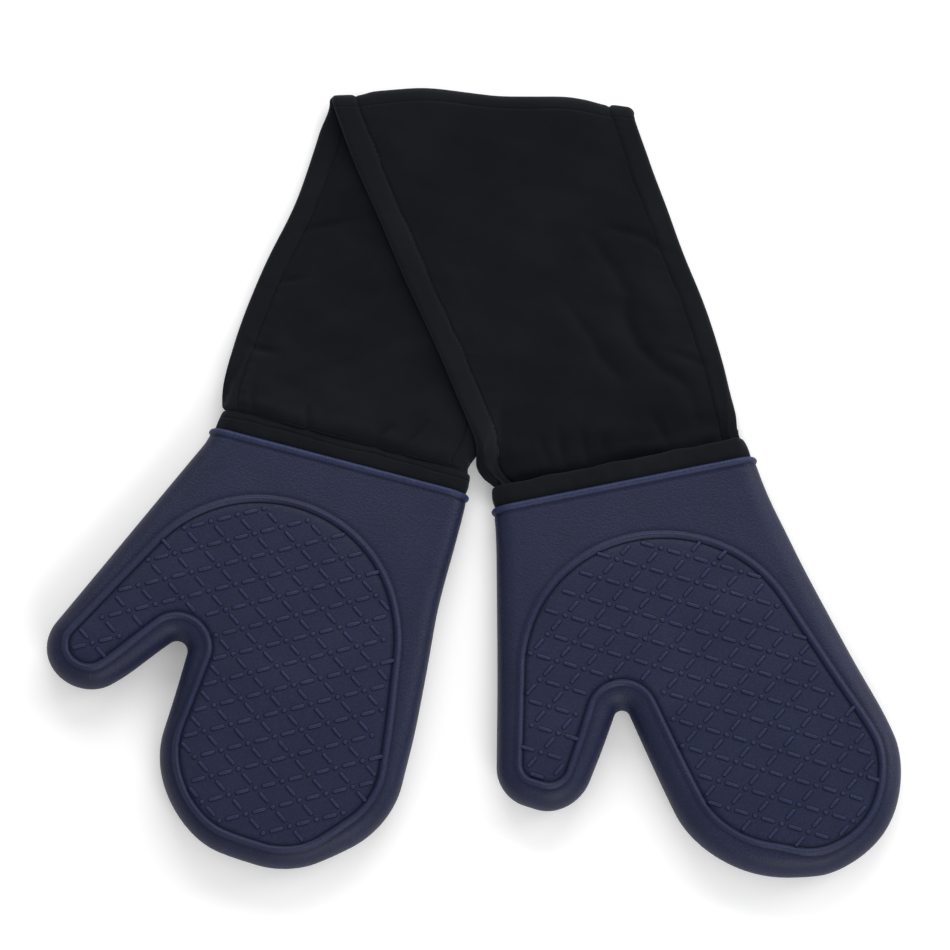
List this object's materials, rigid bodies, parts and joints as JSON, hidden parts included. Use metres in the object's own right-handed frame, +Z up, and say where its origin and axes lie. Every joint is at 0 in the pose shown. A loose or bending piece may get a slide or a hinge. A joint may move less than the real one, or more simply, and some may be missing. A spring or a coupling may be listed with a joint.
{
  "type": "double oven mitt",
  "caption": "Double oven mitt: two quilted-lined silicone mitts with thumbs, joined by a wadded cotton band that folds over in the middle.",
  "frame": {"origin": "on the table, under the middle of the outline of the folded double mitt", "axes": "+X towards the right mitt, +Y towards the fold of the band, +Z up from the table"},
  "size_m": [0.5098, 0.4782, 0.0275],
  "materials": {
    "silicone": "satin",
    "cotton": "matte",
    "wadding": "matte"
  },
  "bodies": {
    "back_half": {"back_outer_panel": "cotton", "back_wadding": "wadding", "back_inner_panel": "cotton", "back_left_edge_binding": "cotton", "back_right_edge_binding": "cotton"},
    "front_half": {"front_outer_panel": "cotton", "front_wadding": "wadding", "front_inner_panel": "cotton", "front_left_edge_binding": "cotton", "front_right_edge_binding": "cotton"},
    "left_mitt": {"left_silicone_shell": "silicone", "left_upper_wadding": "wadding", "left_lower_wadding": "wadding", "left_upper_lining": "cotton", "left_lower_lining": "cotton", "left_cuff_binding": "cotton"},
    "right_mitt": {"right_silicone_shell": "silicone", "right_upper_wadding": "wadding", "right_lower_wadding": "wadding", "right_upper_lining": "cotton", "right_lower_lining": "cotton", "right_cuff_binding": "cotton"}
  },
  "joints": [
    {"name": "band_fold", "type": "hinge", "parent": "back_half", "child": "front_half", "pos_m": [0.00328, 0.23531, 0.0086], "axis": [-0.999, 0.0436, 0], "range_deg": [0, 180]},
    {"name": "left_cuff_flex", "type": "hinge", "parent": "back_half", "child": "left_mitt", "pos_m": [-0.07667, 0.02698, 0.02], "axis": [-0.9659, 0.2588, 0], "range_deg": [-25, 90]},
    {"name": "right_cuff_flex", "type": "hinge", "parent": "front_half", "child": "right_mitt", "pos_m": [0.08789, 0.01484, 0], "axis": [0.9799, 0.1994, 0], "range_deg": [-25, 90]}
  ]
}
